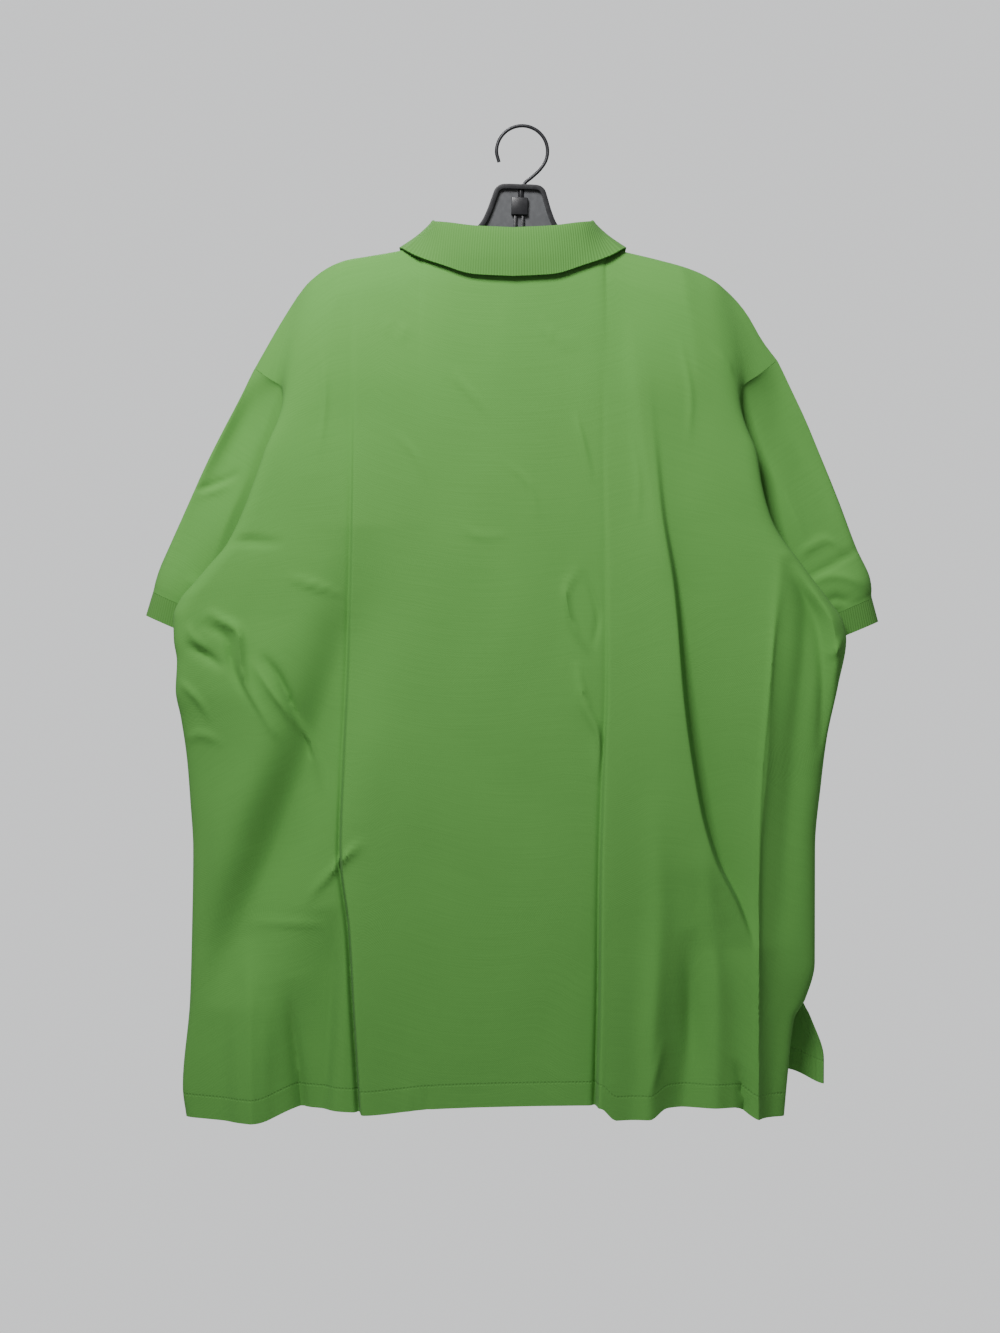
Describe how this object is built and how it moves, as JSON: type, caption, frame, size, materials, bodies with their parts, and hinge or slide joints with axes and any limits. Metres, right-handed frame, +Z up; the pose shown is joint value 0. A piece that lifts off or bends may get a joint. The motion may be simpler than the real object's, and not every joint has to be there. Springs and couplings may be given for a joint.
{
  "type": "polo shirt on a hanger",
  "caption": "Short-sleeved polo shirt with a folded rib collar, rib cuffs and open side vents, hanging on a plastic hanger with a wire hook.",
  "frame": {"origin": "inner top of the hook, where a rail carries the hanger", "axes": "+Z up, +X to the wearer's right, +Y to the wearer's front, so the back of the shirt faces -Y"},
  "size_m": [0.7175, 0.116, 0.9712],
  "materials": {
    "shirt_knit": "matte",
    "rib_knit": "matte",
    "button": "gloss",
    "hanger_plastic": "gloss",
    "hook_wire": "satin"
  },
  "bodies": {
    "root": {"back": "shirt_knit", "front": "shirt_knit", "sleeve_left": "shirt_knit", "sleeve_right": "shirt_knit", "cuff_left": "rib_knit", "cuff_right": "rib_knit", "collar": "rib_knit", "placket_over": "shirt_knit", "placket_under": "shirt_knit", "button_top": "button", "button_low": "button", "hanger": "hanger_plastic", "hook": "hook_wire"}
  },
  "joints": []
}
